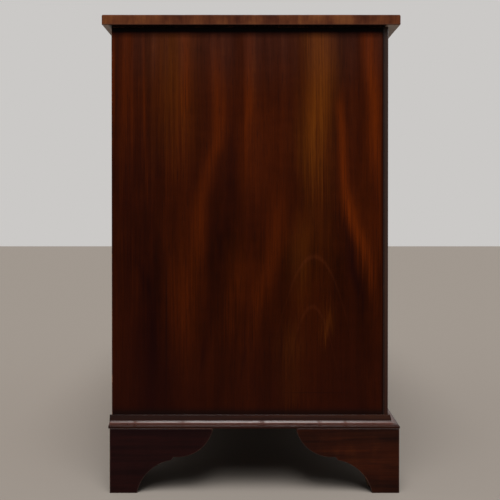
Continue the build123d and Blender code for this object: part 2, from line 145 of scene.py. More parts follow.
studio = {
    # Lengths in metres, angles in degrees, and the lens and sensor in millimetres
    "camera": (-1.695, 0.004, 0.486),
    "lens": 54.58,
    "sensor": 36.0,
    "downward": 0.45,
    "shift": (0.0, -0.09),
    "clip": (0.02, 60.0),
    "floorReach": 6.1,
    "floorColour": (148, 140, 132),
    "wallColour": (203, 201, 199),
    "keyHeights": (54.0, 39.0),  # in turn, from the left end's side
    "keyStrength": 3.65,  # of all parts together
    "keyWidth": 8.0,
    "keyFan": 12.0,
    "keyParts": 9,
    # Where each of these comes from, its strength and its width
    "fills": {
        "frontFill": ((0.34, -0.85, 0.42), 2.1, 34.0),
        "backFill": ((0.72, 0.62, 0.45), 1.7, 40.0),
    },
    "floorLights": {
        "lowLight": ((-0.695, 0.0, 0.719), 0.38, 16.0),
        "highLight": ((-0.358, 0.0, 0.934), 2.60, 36.0),
    },
    # The room's own light grows from one strength to another between two heights of its
    # direction, and from a share, where the left end faces, to the whole between two turns
    "roomColour": (1.0, 0.985, 0.965, 1.0),
    "roomHeights": (0.0, 0.75),
    "roomStrengths": (0.14, 0.42),
    "roomTurns": (-0.92, -0.35),
    "roomShares": (0.15, 1.0),
}


def makeCamera():
    data = bpy.data.cameras.new("photoView")
    data.lens = studio["lens"]
    data.sensor_width = studio["sensor"]
    data.shift_x, data.shift_y = studio["shift"]
    data.clip_start, data.clip_end = studio["clip"]
    camera = added("photoView", data)
    camera.location = studio["camera"]
    upright = math.radians(90.0 - studio["downward"])
    camera.rotation_euler = (upright, 0.0, math.radians(-90.0))
    bpy.context.scene.camera = camera


def makeSun(name, direction, strength, width):
    data = bpy.data.lights.new(name, "SUN")
    data.energy = strength
    data.angle = math.radians(width)
    lamp = added(name, data)
    x, y, z = direction
    tilt = math.acos(z / np.linalg.norm(direction))
    lamp.rotation_euler = (0.0, tilt, math.atan2(y, x))
    return lamp


def makeKeys():
    # One long lamp, as a fan of narrow suns side by side
    suns = []
    strength = studio["keyStrength"] / studio["keyParts"]
    fan = np.radians(np.linspace(-studio["keyFan"], studio["keyFan"], studio["keyParts"]))
    for index, turn in enumerate(fan):
        height = math.radians(studio["keyHeights"][index % 2])
        flat = math.cos(height)
        toward = (-flat * math.cos(turn), flat * math.sin(turn), math.sin(height))
        suns.append(makeSun(f"keyLight{index}", toward, strength, studio["keyWidth"]))
    return suns


def makeFloor():
    reach = studio["floorReach"]
    mesh = bpy.data.meshes.new("floor")
    corners = [(-reach, -reach, 0), (reach, -reach, 0), (reach, reach, 0), (-reach, reach, 0)]
    mesh.from_pydata(corners, [], [(0, 1, 2, 3)])
    material = bpy.data.materials.new("paleFloor")
    material.use_nodes = True
    shader = material.node_tree.nodes["Principled BSDF"]
    shader.inputs["Base Color"].default_value = tone(*studio["floorColour"])
    shader.inputs["Roughness"].default_value = 1.0
    shader.inputs["Specular IOR Level"].default_value = 0.0
    mesh.materials.append(material)
    plain = added("floor", mesh)
    plain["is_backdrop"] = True
    return plain


def makeRoom():
    # The camera sees a plain wall, and so do the polish and the brass. The room's own light is dim
    # where the left end faces, as in the photograph.
    world = bpy.data.worlds.new("room")
    bpy.context.scene.world = world
    room = Graph(world)
    split = room.put("SeparateXYZ")
    room.feed(split.inputs[0], room.put("TexCoord").outputs["Generated"])
    across, _, up = split.outputs
    strength = room.span(up, *studio["roomHeights"], *studio["roomStrengths"], smooth=True)
    share = room.span(across, *studio["roomTurns"], *studio["roomShares"], smooth=True)
    light = room.made("Background", studio["roomColour"], room.times(strength, share))
    wall = room.made("Background", tone(*studio["wallColour"]))
    rays = room.put("LightPath")
    seen = rays.outputs["Is Camera Ray"]
    for kind in ("Is Glossy Ray", "Is Transmission Ray"):
        seen = room.reckon("MAXIMUM", seen, rays.outputs[kind])
    chosen = room.made("MixShader", seen, light, wall)
    room.feed(room.put("OutputWorld").inputs[0], chosen)


makeCamera()
keys = makeKeys()
fills = [makeSun(name, *settings) for name, settings in studio["fills"].items()]
fills[1].visible_glossy = False  # no glare of it on the top
floorLights = [makeSun(name, *settings) for name, settings in studio["floorLights"].items()]
floor = makeFloor()
makeRoom()
bpy.context.scene.view_settings.view_transform = "Standard"
print("Camera, lights and floor made")

# Finishes


class Recipe(Graph):
    # The nodes of one finish, on the coordinates of the object

    def __init__(self, name):
        self.material = bpy.data.materials.new(name)
        super().__init__(self.material)
        self.shader = self.put("BsdfPrincipled")
        self.feed(self.put("OutputMaterial").inputs[0], self.shader.outputs[0])
        split = self.put("SeparateXYZ")
        self.feed(split.inputs[0], self.put("TexCoord").outputs["Object"])
        x, y, z = split.outputs
        self.axis = {"x": x, "y": y, "z": z, "x+y": self.plus(x, y), "x+z": self.plus(x, z)}
        self.axis["none"] = 0.0  # the depth of pieces that turn a corner

    def noise(self, vector, detail=3.0, roughness=0.5):
        node = self.put("TexNoise")
        self.fill(node, {"Vector": vector, "Scale": 1.0, "Detail": detail, "Roughness": roughness})
        return node.outputs["Fac"]

    def stretched(self, scales, seed=0.0, **settings):
        # Noise on the places x, y, z given, each with its own scale
        scaled = [
            self.timesPlus(value, scale, seed + 3.7 * k) for k, (value, scale) in enumerate(scales)
        ]
        return self.noise(self.join(*scaled), **settings)

    def cloud(self, scale, seed, **settings):
        # Noise with one scale all ways
        return self.stretched([(self.axis[k], scale) for k in "xyz"], seed, **settings)

    def ramp(self, value, stops):
        # Each stop is its position and its colour
        node = self.put("ValToRGB")
        marks = node.color_ramp.elements
        while len(marks) < len(stops):
            marks.new(0.5)
        for mark, (position, *colour) in zip(marks, stops):
            mark.position = position
            mark.color = tone(*colour)
        self.feed(node.inputs[0], value)
        return node.outputs[0]

    def blend(self, amount, first, second):
        node = self.put("Mix")
        node.data_type = "RGBA"
        for index, value in ((0, amount), (6, first), (7, second)):
            self.feed(node.inputs[index], value)
        return node.outputs[2]

    def tint(self, colour, amount, share, other):
        # The colour with another over it, by a share of the amount
        return self.blend(self.times(amount, share), colour, tone(*other))

    def curve(self, value, across, up, straight=False):
        node = self.put("FloatCurve")
        node.mapping.extend = "HORIZONTAL"
        line = node.mapping.curves[0]
        while len(line.points) < len(across):
            line.points.new(0.5, 0.5)
        for point, spot in zip(line.points, sorted(zip(across, up))):
            point.location = spot
            if straight:
                point.handle_type = "VECTOR"
        node.mapping.update()
        self.feed(node.inputs["Value"], value)
        return node.outputs[0]

    def bell(self, value, centre, width):
        # 1 at the centre, falling as e to the minus square of the distance over the width
        offset = self.reckon("DIVIDE", self.minus(value, centre), width)
        return self.reckon("EXPONENT", self.times(self.times(offset, offset), -1.0))

    def relief(self, height, strength, distance, normal=None):
        node = self.put("Bump")
        self.fill(node, {"Height": height, "Strength": strength, "Distance": distance})
        if normal:
            self.feed(node.inputs["Normal"], normal)
        return node.outputs[0]

    def finish(self, colour, roughness, normal, level, metallic=0.0, coat=0.0):
        values = {
            "Base Color": colour,
            "Roughness": roughness,
            "Normal": normal,
            "Specular IOR Level": level,
            "Metallic": metallic,
            "Coat Weight": coat,
            "Coat Roughness": 0.16,
        }
        self.fill(self.shader, values)
        return self.material


mahoganyTones = {
    "panel": ((0, 22, 4, 1), (0.3, 30, 7, 1), (0.55, 39, 10, 2), (0.8, 52, 17, 4), (1, 74, 31, 7)),
    "edge": (
        (0, 46, 22, 16), (0.3, 66, 33, 21), (0.55, 87, 47, 28), (0.8, 105, 61, 34), (1, 122, 74, 43)
    ),
    "foot": ((0, 14, 4, 3), (0.35, 23, 8, 5), (0.65, 36, 14, 7), (1, 54, 28, 13)),
    "rearFoot": ((0, 14, 4, 5), (0.35, 22, 7, 7), (0.65, 31, 10, 9), (1, 46, 17, 12)),
    # A painted grey reflection on the outer face of the lippings, from low to high
    "lipping": ((0, 42, 24, 18), (0.7, 54, 39, 31), (1, 50, 38, 33)),
}


def grain(recipe, along, across, depth, seed, ribbon=46.0, run=1.5, drift=0.05):
    # Wood fibres: noise that is long along the grain and short across it. The place across the
    # grain first wanders slowly, then frays, so that the streaks flow and have feathered edges.
    u, v, w = recipe.axis[across], recipe.axis[along], recipe.axis[depth]
    fray = 0.0035
    wander = recipe.stretched(((u, 5.0), (v, 1.5), (w, 5.0)), seed, detail=2.0)
    bent = recipe.timesPlus(recipe.minus(wander, 0.5), drift, u)
    frayed = recipe.stretched(((bent, 170.0), (v, 8.0), (w, 60.0)), seed + 11.0, detail=3.0)
    line = recipe.timesPlus(recipe.minus(frayed, 0.5), fray, bent)
    ribbons = recipe.stretched(
        ((line, ribbon), (v, run), (w, 14.0)), seed + 23.0, detail=5.0, roughness=0.62
    )
    fine = recipe.stretched(
        ((line, 400.0), (v, 5.0), (w, 150.0)), seed + 31.0, detail=4.0, roughness=0.7
    )
    flash = recipe.stretched(((bent, 22.0), (v, 60.0), (w, 30.0)), seed + 43.0, detail=2.0)
    pores = recipe.stretched(((line, 1500.0), (v, 42.0), (w, 900.0)), seed + 53.0, detail=1.0)
    return {
        "line": line,
        "ribbons": recipe.span(ribbons, 0.28, 0.72),
        "fine": recipe.span(fine, 0.25, 0.75),
        "flash": flash,
        "pores": recipe.span(pores, 0.60, 0.74),
    }


def fibreValue(recipe, fibres, ribbons=0.60, fine=0.28, flash=0.18):
    total = recipe.times(fibres["ribbons"], ribbons)
    total = recipe.timesPlus(fibres["fine"], fine, total)
    return recipe.timesPlus(fibres["flash"], flash, total)


def polished(recipe, fibres, colour, seed, gloss=0.30, level=0.022, relief=1.0, uneven=1.0):
    # Old polish: uneven in its gloss, with fine open pores under it and a slowly rolling surface
    x, y, z = (recipe.axis[k] for k in "xyz")
    dusty = recipe.stretched(
        ((x, 9.0), (y, 9.0), (z, 7.0)), seed + 71.0, detail=5.0, roughness=0.65
    )
    rough = recipe.span(dusty, 0.30, 0.75, gloss - 0.03 * uneven, gloss + 0.08 * uneven)
    rough = recipe.timesPlus(fibres["pores"], 0.10 * uneven, rough)
    rolled = recipe.relief(recipe.cloud(9.0, seed, detail=0.0), 0.22 * relief, 0.0012)
    height = recipe.timesPlus(fibres["pores"], -0.7, fibres["fine"])
    normal = recipe.relief(height, 0.10 * relief, 0.00022, rolled)
    return recipe.finish(colour, rough, normal, level, coat=0.006)


def mahogany(
    name, along, across, depth, seed, tones="panel", lift=0.0, gloss=0.30, sheen=0.06,
    relief=1.0, uneven=1.0, warmth=0.0, wornAndPaintedHighlight=None, **growth
):
    recipe = Recipe(name)
    fibres = grain(recipe, along, across, depth, seed, **growth)
    value = recipe.plus(fibreValue(recipe, fibres), lift)
    colour = recipe.ramp(value, mahoganyTones[tones])
    if wornAndPaintedHighlight:  # a pale band painted along the lip as a highlight: height, half width and strength
        height, width, strength = wornAndPaintedHighlight
        paintedHighlightBand = recipe.bell(recipe.axis["z"], height, width)
        colour = recipe.tint(colour, paintedHighlightBand, strength, (128, 84, 74))
    if warmth:
        broad = recipe.stretched(
            ((fibres["line"], 15.0), (recipe.axis[along], 2.8), (recipe.axis[depth], 5.0)),
            seed + 67.0,
            detail=4.0,
            roughness=0.6,
        )
        strand = recipe.timesPlus(fibres["fine"], 0.8, 0.3)
        amount = recipe.times(recipe.span(broad, 0.42, 0.68, 0.0, warmth), strand)
        colour = recipe.blend(amount, colour, tone(104, 40, 10))
        flash = recipe.span(fibres["flash"], 0.5, 0.75, 0.0, 0.5)
        colour = recipe.tint(colour, flash, amount, (120, 62, 22))
    colour = recipe.tint(colour, fibres["pores"], 0.5, (14, 5, 4))
    return polished(recipe, fibres, colour, seed, gloss, sheen, relief=relief, uneven=uneven)


lipping = {
    # Place and half width of the joint to the end panel, across the end
    "joint": (-0.2196, 0.0014),
    # From where to where across the chest the outer face begins, and the cover of the painted
    # grey reflection on it
    "outside": (0.4291, 0.4298, 0.0, 0.78),
    # The heights over which the painted reflection changes its tone
    "heights": (0.13, 0.48),
}


def lippedMahogany(name):
    # The glossier lippings, with old dark polish in the joint to the end panel and a painted grey
    # reflection on their outer face
    recipe = Recipe(name)
    seed = 17.0
    fibres = grain(recipe, "z", "y", "x", seed)
    value = recipe.plus(fibreValue(recipe, fibres), 0.16)
    colour = recipe.ramp(value, mahoganyTones["panel"])
    joint = recipe.bell(recipe.axis["y"], *lipping["joint"])
    outside = recipe.span(recipe.reckon("ABSOLUTE", recipe.axis["x"]), *lipping["outside"])
    height = recipe.span(recipe.axis["z"], *lipping["heights"])
    # A painted grey reflection on the outer face
    colour = recipe.blend(outside, colour, recipe.ramp(height, mahoganyTones["lipping"]))
    colour = recipe.tint(colour, joint, 0.95, (8, 4, 3))
    return polished(recipe, fibres, colour, seed, gloss=0.34, level=0.10)


# The left end's own figure, in millimetres. Each streak is its half width and, at places up the
# end, its height, its place across the end and its strength.
endFigure = {
    "golden": (
        (25, (334, -109.5, 0), (409, -109.5, 0.1), (476, -112.5, 0.16), (523, -108, 0.42),
         (571, -104, 0.78), (621, -107.8, 1), (670, -112.8, 1), (718, -115, 1), (768, -109, 1)),
        (18.4, (251, -79.4, 0), (317, -79.4, 0.1), (393, -76.1, 0.3), (443, -82.8, 0.25),
         (484, -87.8, 0)),
        (10, (257, -122.8, 0), (287, -124.5, 0.5), (317, -124.5, 0)),
        (21, (134, -66.1, 0), (159, -66.1, 0.22), (217, -62.8, 0.15), (246, -64.4, 0.34),
         (276, -66.1, 0)),
        (33, (520, 130.8, 0), (610, 130.8, 0.25), (680, 134.2, 0.4), (761, 134.2, 0.5)),
    ),
    "amber": (
        (7.5, (448, -166.2, 0), (468, -161.2, 0.5), (489, -157, 0.75), (554, -152, 0.9),
         (601, -150.4, 0.95), (635, -147.9, 0.7), (676, -146.2, 0)),
        (11.8, (272, -209.6, 0), (302, -206.3, 0.04), (336, -201.3, 0.15), (369, -194.6, 0.45),
         (403, -187.1, 0.8), (431, -176.2, 0.85), (454, -167.9, 0.8), (476, -162.9, 0.6),
         (504, -154.5, 0)),
        (11, (401, -208.3, 0), (476, -208.3, 0.05), (534, -206.6, 0.45), (588, -204.9, 0.9),
         (655, -203.3, 0.95), (718, -195.9, 1), (771, -193.4, 0.8)),
        (11.5, (287, 95.8, 0), (367, 92.5, 0.2), (409, 89.1, 0.42), (451, 89.1, 0.45),
         (484, 86.6, 0.42), (518, 79.1, 0.4), (551, 70.8, 0.45), (576, 60.7, 0.55),
         (609, 56.6, 0.6), (668, 58.2, 0.6), (718, 62.4, 0.5), (743, 64.1, 0.1)),
        (8.3, (451, 14, 0), (518, 12.3, 0.15), (593, 12.3, 0.3), (638, 7.3, 0.55),
         (685, 7.3, 0.55), (718, 5.7, 0.3)),
        (6.7, (635, 112.5, 0), (676, 111.6, 0.5), (735, 112.5, 0.6), (771, 115.8, 0.5)),
        (4, (501, 232.6, 0), (568, 232.6, 0.1), (651, 232.6, 0.5), (718, 233.5, 0.7),
         (768, 233.5, 0.4)),
        (19, (231, -2.7, 0), (301, -7.7, 0.15), (334, -14.4, 0.32), (354, -21, 0.4),
         (388, -31, 0.45), (426, -38.6, 0.48), (476, -39.4, 0.4), (529, -39.4, 0)),
        (15, (247, 37.4, 0), (312, 31.5, 0.2), (342, 26.5, 0.32), (367, 20.7, 0.25),
         (413, 15.7, 0)),
        (15, (264, -213, 0), (304, -213, 0.03), (367, -213, 0.12), (426, -206.3, 0.25),
         (468, -196.3, 0.18), (509, -189.6, 0)),
        (21.7, (217, 120.8, 0), (267, 120.8, 0.1), (334, 117.5, 0.2), (401, 110.8, 0.2),
         (459, 104.1, 0.2), (518, 112.5, 0.1)),
        (2.7, (509, 175.9, 0), (574, 178.4, 0.35), (651, 179.2, 0.45), (718, 180.9, 0.4),
         (768, 182.6, 0.2)),
        (8.3, (568, 150.9, 0), (651, 157.5, 0.15), (718, 157.5, 0.2), (761, 157.5, 0.1)),
        (14, (468, 212.6, 0), (551, 212.6, 0.2), (651, 211, 0.4), (768, 209.3, 0.5)),
        (70, (140, -90, 0.16), (230, -90, 0.16), (314, -80, 0.14), (370, -70, 0)),
    ),
    "dark": (
        (10.8, (276, -187.9, 0), (297, -186.3, 0.3), (321, -182.1, 0.8), (341, -176.2, 0.95),
         (367, -168.7, 0.95), (401, -164.6, 0.9), (438, -159.6, 0.7), (464, -152.9, 0)),
        (10, (501, -147.9, 0), (568, -143.7, 0.3), (651, -141.2, 0.3), (676, -147.9, 0.5),
         (718, -147.9, 0.6), (771, -149.5, 0.5)),
        (16.7, (167, 87.4, 0.1), (234, 77.4, 0.25), (317, 64.1, 0.3), (384, 57.4, 0.35),
         (434, 50.7, 0.35), (484, 40.7, 0.2)),
        (3.7, (184, 87.4, 0), (209, 84.1, 0.5), (242, 79.9, 0.5), (284, 77.4, 0)),
        (4, (159, 20.7, 0), (184, 17.4, 0.5), (217, 13.2, 0.45), (242, 10.7, 0)),
        (6.7, (184, -42.7, 0), (209, -44.4, 0.35), (234, -46.1, 0.5), (259, -47.7, 0)),
        (13.4, (418, 44.1, 0), (451, 40.7, 0.1), (501, 37.4, 0.3), (568, 37.4, 0.25),
         (618, 40.7, 0)),
        (55, (151, 180, 0.85), (234, 185, 0.85), (317, 195.9, 0.75), (401, 195.9, 0.65),
         (484, 185.9, 0.45), (564, 175.9, 0.4), (648, 165.9, 0.15), (700, 165.9, 0)),
        (10, (142, 170.9, 0.3), (267, 167.6, 0.4), (334, 170.9, 0.3), (418, 221, 0)),
        (15, (434, 214.3, 0), (484, 212.6, 0.3), (534, 209.3, 0.4), (584, 212.6, 0.3),
         (651, 212.6, 0)),
    ),
    "tones": {"golden": (94, 46, 9), "amber": (92, 34, 4), "dark": (17, 3, 3)},
    # From here on in metres. The curves of the streaks reach over these heights and this depth.
    "low": 0.107,
    "high": 0.807,
    "depth": 0.52,
    # Height of the peak, its middle, bend, half width and strength
    "arches": ((0.390, -0.1020, 34.0, 0.00416, 0.26), (0.306, -0.0990, 62.0, 0.00384, 0.18)),
    # Place across, half width, and the heights between which it fades out
    "boardJoint": (0.144, 0.0011, 0.335, 0.395),
    # Height, half width and the two ends
    "crack": (0.1622, 0.0006, -0.168, -0.041),
    # Place and half width
    "lippingJoint": (-0.2190, 0.0026),
    "dust": (0.128, 0.007),
    # Two heights and how much there is at each
    "brown": (0.36, 0.62, -0.14, 0.16),
    "dull": (0.12, 0.36, 0.5, 0.0),
    # A painted glare, paler and greyer, on the upper end under the top
    "haze": (0.64, 0.765, 0.0, 0.16),
    # A painted shadow, nearly black, right under the top
    "grime": (0.758, 0.766, 0.0, 0.95),
}


def figuredEnd(name, seed):
    recipe = Recipe(name)
    fibres = grain(recipe, "z", "y", "x", seed, ribbon=44.0, run=1.3, drift=0.012)
    x, across, z = (recipe.axis[k] for k in "xyz")
    y = fibres["line"]
    figure = endFigure
    rise = recipe.span(z, figure["low"], figure["high"])
    # The upper half of the end is browner and the lower half darker
    lift = recipe.span(z, *figure["brown"], smooth=True)
    value = recipe.plus(fibreValue(recipe, fibres, ribbons=0.46, fine=0.20, flash=0.30), lift)
    colour = recipe.ramp(value, mahoganyTones["panel"])
    # Strands of different length and strength make each streak ragged
    strand = recipe.stretched(
        ((y, 480.0), (z, 6.0), (x, 60.0)), seed + 61.0, detail=3.0, roughness=0.6
    )
    strand = recipe.span(strand, 0.32, 0.68)
    fibreStrength = recipe.timesPlus(strand, 0.58, 0.42)
    ragged = recipe.timesPlus(recipe.minus(strand, 0.5), 0.11, rise)
    warmth = recipe.stretched(
        ((y, 13.0), (z, 2.6), (x, 5.0)), seed + 67.0, detail=4.0, roughness=0.6
    )
    warmth = recipe.span(warmth, 0.45, 0.75, 0.0, 0.42)
    colour = recipe.tint(colour, warmth, fibreStrength, figure["tones"]["amber"])
    wide, reach = figure["depth"], figure["high"] - figure["low"]
    for kind in ("dark", "golden", "amber"):
        total = 0.0
        for width, *points in figure[kind]:
            heights, places, strengths = np.array(points).T
            heights = ((heights / 1000 - figure["low"]) / reach).tolist()
            places = (0.5 + places / 1000 / wide).tolist()
            centre = recipe.timesPlus(recipe.curve(rise, heights, places), wide, -wide / 2)
            strength = recipe.curve(ragged, heights, strengths.tolist(), straight=True)
            streak = recipe.times(recipe.bell(y, centre, width / 1000), strength)
            total = recipe.plus(streak, total)
        amount = recipe.times(total, 0.8 if kind == "dark" else fibreStrength)
        amount = recipe.reckon("MINIMUM", amount, 0.92)
        colour = recipe.blend(amount, colour, tone(*figure["tones"][kind]))
    # Grain that turns over in arches: a line where the height falls as the square of the offset
    for peak, middle, bend, width, strength in figure["arches"]:
        offset = recipe.minus(y, middle)
        fallen = recipe.times(recipe.times(offset, offset), bend)
        ring = recipe.bell(recipe.plus(z, fallen), peak, width)
        near = recipe.times(recipe.bell(offset, 0.0, 0.045), fibreStrength)
        colour = recipe.tint(colour, recipe.times(ring, near), strength, (92, 42, 22))
    spot, width, low, high = figure["boardJoint"]
    fade = recipe.span(z, low, high, 1.0, 0.0, smooth=True)
    line = recipe.times(recipe.bell(across, spot, width), fade)
    colour = recipe.tint(colour, line, 0.6, (12, 4, 4))
    height, width, start, end = figure["crack"]
    inside = recipe.times(
        recipe.span(across, start, start + 0.03), recipe.span(across, end - 0.04, end, 1.0, 0.0)
    )
    line = recipe.times(recipe.bell(z, height, width), inside)
    colour = recipe.tint(colour, line, 0.65, (13, 5, 4))
    # Darker and more purple towards the base, a painted glare under the top, dark in the joint
    # to the lipping, a painted shadow right under the top, and dark in the corner to the moulding
    dull = recipe.span(z, *figure["dull"], smooth=True)
    colour = recipe.blend(dull, colour, tone(34, 10, 6))
    # Painted glare: the end paler and greyer under the top
    haze = recipe.span(z, *figure["haze"], smooth=True)
    colour = recipe.tint(colour, haze, fibres["ribbons"], (88, 56, 48))
    colour = recipe.tint(colour, recipe.bell(across, *figure["lippingJoint"]), 0.9, (8, 3, 3))
    # A painted shadow, nearly black, right under the top
    colour = recipe.blend(recipe.span(z, *figure["grime"]), colour, tone(3, 1, 1))
    # A dark line in the corner to the moulding
    colour = recipe.tint(colour, recipe.bell(z, *figure["dust"]), 0.75, (14, 8, 7))
    colour = recipe.tint(colour, fibres["pores"], 0.45, (14, 5, 4))
    return polished(recipe, fibres, colour, seed)


def bandedTop(name):
    # Long grain on the flat of the top, with a border and edge of short cross grain
    recipe = Recipe(name)
    seed, border = 81.0, 0.0342
    field = grain(recipe, "x", "y", "z", seed, ribbon=38.0, run=1.1, drift=0.05)
    fieldColour = recipe.ramp(fibreValue(recipe, field), mahoganyTones["panel"])
    x, y, z = (recipe.axis[k] for k in "xyz")
    (_, front, low), (right, back, high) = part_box("top_board")
    middle, half = (front + back) / 2, (back - front) / 2
    fromSide = recipe.minus(right, recipe.reckon("ABSOLUTE", x))
    fromFront = recipe.minus(half, recipe.reckon("ABSOLUTE", recipe.minus(y, middle)))
    onSide = recipe.reckon("LESS_THAN", fromSide, fromFront)
    nearest = recipe.reckon("MINIMUM", fromSide, fromFront)
    # The place along the border: y on the end borders and x on the long ones
    lengthwise = recipe.timesPlus(onSide, recipe.minus(y, x), x)
    patches = recipe.stretched(
        ((lengthwise, 30.0), (nearest, 3.0), (z, 14.0)), 91.0, detail=4.0, roughness=0.6
    )
    hatch = recipe.stretched(((lengthwise, 520.0), (nearest, 9.0), (z, 30.0)), 97.0, detail=3.0)
    broad = recipe.span(patches, 0.3, 0.7, 0.06, 0.80)
    value = recipe.timesPlus(recipe.span(hatch, 0.3, 0.7), 0.17, broad)
    edgeColour = recipe.ramp(value, mahoganyTones["edge"])
    flatColour = recipe.ramp(recipe.plus(value, 0.12), mahoganyTones["panel"])
    onEdge = recipe.span(z, high - 0.0009, high - 0.0003, 1.0, 0.0)
    borderColour = recipe.blend(onEdge, flatColour, edgeColour)
    inBorder = recipe.span(nearest, border - 0.0002, border + 0.0002, 1.0, 0.0)
    colour = recipe.blend(inBorder, fieldColour, borderColour)
    colour = recipe.tint(colour, recipe.bell(nearest, border, 0.0003), 0.7, (12, 5, 4))
    # A painted shadow blackens the underside next to the case; beyond its front and back the
    # underside is paler, as bare wood and as a painted reflection
    under = recipe.span(z, low + 0.0002, low + 0.0008, 1.0, 0.0)
    (_, caseFront, _), (_, caseBack, _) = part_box("side_panel_left")
    beyond = recipe.reckon(
        "MAXIMUM",
        recipe.span(y, caseFront - 0.004, caseFront, 1.0, 0.0),
        recipe.span(y, caseBack, caseBack + 0.004),
    )
    underColour = recipe.blend(beyond, tone(10, 5, 4), tone(146, 130, 118))
    colour = recipe.blend(under, colour, underColour)
    # A painted highlight along the lower arris of the edge
    colour = recipe.tint(colour, recipe.bell(z, low + 0.0012, 0.0008), 0.35, (118, 80, 66))
    return polished(recipe, field, colour, seed, gloss=0.26, relief=0.1, uneven=0.2)


plainTones = {
    "oak": ((0, 120, 84, 50), (0.35, 150, 110, 68), (0.7, 174, 134, 88), (1, 190, 152, 106)),
    "pine": ((0, 138, 96, 56), (0.35, 170, 124, 74), (0.7, 190, 146, 92), (1, 204, 164, 112)),
    "back": ((0, 96, 64, 38), (0.35, 124, 86, 52), (0.7, 146, 106, 66), (1, 162, 122, 80)),
    "under": ((0, 58, 38, 24), (0.35, 78, 52, 32), (0.7, 96, 66, 40), (1, 110, 78, 50)),
}


def plainWood(
    name, tones, along, across, depth, seed, ribbon=60.0, knots=0.0, stain=0.5, board=0.0
):
    # Unpolished inner wood: bands of growth, fine fibres, age stains and, in pine, knots. Boards
    # of one width side by side differ a little in tone.
    recipe = Recipe(name)
    fibres = grain(recipe, along, across, depth, seed, ribbon=ribbon, run=1.0, drift=0.035)
    rings = recipe.reckon("FRACT", recipe.timesPlus(fibres["ribbons"], 5.0, fibres["line"]))
    value = recipe.timesPlus(rings, 0.40, recipe.times(fibres["fine"], 0.55))
    colour = recipe.ramp(value, plainTones[tones])
    aged = recipe.noise(
        recipe.join(*[recipe.times(recipe.axis[k], 7.0) for k in "xyz"]), detail=5.0, roughness=0.6
    )
    colour = recipe.blend(recipe.span(aged, 0.35, 0.80, 0.0, stain), colour, tone(74, 48, 28))
    if board:
        number = recipe.reckon("FLOOR", recipe.reckon("DIVIDE", recipe.axis[across], board))
        own = recipe.put("TexWhiteNoise")
        own.noise_dimensions = "1D"
        recipe.feed(own.inputs["W"], recipe.plus(number, seed))
        colour = recipe.tint(colour, own.outputs["Value"], 0.42, (92, 60, 36))
    if knots:
        cells = recipe.put("TexVoronoi")
        cells.inputs["Scale"].default_value = 1.0
        scales = ((across, 4.2), (along, 2.1), (depth, 0.5))
        places = [recipe.times(recipe.axis[k], scale) for k, scale in scales]
        recipe.feed(cells.inputs["Vector"], recipe.join(*places))
        knot = recipe.span(cells.outputs["Distance"], 0.018, 0.042, knots, 0.0, smooth=True)
        colour = recipe.blend(knot, colour, tone(64, 34, 18))
    colour = recipe.tint(colour, fibres["pores"], 0.35, (60, 38, 22))
    height = recipe.timesPlus(fibres["pores"], -0.6, fibres["fine"])
    rough = recipe.span(fibres["fine"], 0.0, 1.0, 0.56, 0.74)
    return recipe.finish(colour, rough, recipe.relief(height, 0.35, 0.0004), 0.3)


def agedBrass(name, seed):
    recipe = Recipe(name)
    cloud = recipe.cloud(120.0, seed, detail=6.0, roughness=0.65)
    specks = recipe.cloud(900.0, seed + 9.0, detail=3.0)
    tones = ((0.25, 122, 92, 50), (0.48, 180, 142, 82), (0.70, 210, 176, 116))
    colour = recipe.ramp(cloud, tones)
    stain = recipe.span(specks, 0.60, 0.74, 0.0, 0.6)
    colour = recipe.blend(stain, colour, tone(84, 58, 30))
    rough = recipe.span(cloud, 0.3, 0.7, 0.38, 0.22)
    return recipe.finish(colour, rough, recipe.relief(specks, 0.12, 0.0002), 0.5, metallic=1.0)


def oldSteel(name):
    recipe = Recipe(name)
    cloud = recipe.cloud(260.0, 3.0, detail=5.0)
    tones = ((0.3, 92, 80, 70), (0.55, 150, 146, 140), (0.8, 176, 172, 166))
    colour = recipe.ramp(cloud, tones)
    rough = recipe.span(cloud, 0.3, 0.7, 0.55, 0.30)
    return recipe.finish(colour, rough, recipe.relief(cloud, 0.2, 0.0002), 0.5, metallic=1.0)


def wornArris(name, seed, dull, bright, share=0.5, joint=None):
    # The rubbed arris of a polished piece: paler where the polish has gone, with small gaps. Old
    # dark polish fills the joint at the place given across the end.
    recipe = Recipe(name)
    patches = recipe.cloud(26.0, seed, detail=4.0, roughness=0.7)
    chips = recipe.cloud(210.0, seed + 5.0, detail=3.0)
    value = recipe.timesPlus(recipe.minus(chips, 0.5), 0.55, patches)
    colour = recipe.blend(recipe.span(value, share, share + 0.22), tone(*dull), tone(*bright))
    if joint:
        colour = recipe.blend(recipe.bell(recipe.axis["y"], joint, 0.003), colour, tone(10, 4, 3))
    rough = recipe.span(value, 0.3, 0.7, 0.26, 0.50)
    return recipe.finish(colour, rough, recipe.relief(chips, 0.2, 0.0003), 0.35)


